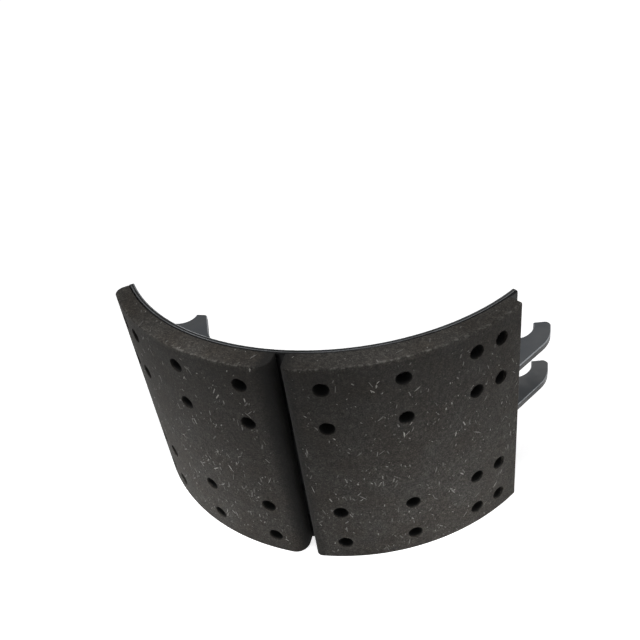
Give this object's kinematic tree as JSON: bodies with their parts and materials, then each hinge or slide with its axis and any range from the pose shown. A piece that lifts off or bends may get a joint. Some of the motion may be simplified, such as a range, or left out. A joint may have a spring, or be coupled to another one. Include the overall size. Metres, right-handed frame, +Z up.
{
  "type": "brake shoe",
  "caption": "Curved steel table on parallel webs, faced with riveted blocks of friction lining; an open pin seat at its anchor end and hooked roller pockets at its cam end.",
  "frame": {"origin": "axis of the anchor pin's seat, on the shoe's mid-plane", "axes": "+Z up along the drum axis, +X from the anchor end to the cam end, -Y out through the friction face"},
  "size_m": [0.3774, 0.1819, 0.219],
  "materials": {
    "black_painted_steel": "gloss black paint",
    "friction_lining": "ground friction material, dark grey with pale flecks",
    "rivet_steel": "plated steel"
  },
  "bodies": {
    "root": {"shoe_table": "black_painted_steel", "upper_web": "black_painted_steel", "lower_web": "black_painted_steel", "upper_web_welds": "black_painted_steel", "lower_web_welds": "black_painted_steel", "anchor_end_lining": "friction_lining", "cam_end_lining": "friction_lining", "anchor_end_rivets": "rivet_steel", "cam_end_rivets": "rivet_steel"}
  },
  "joints": []
}
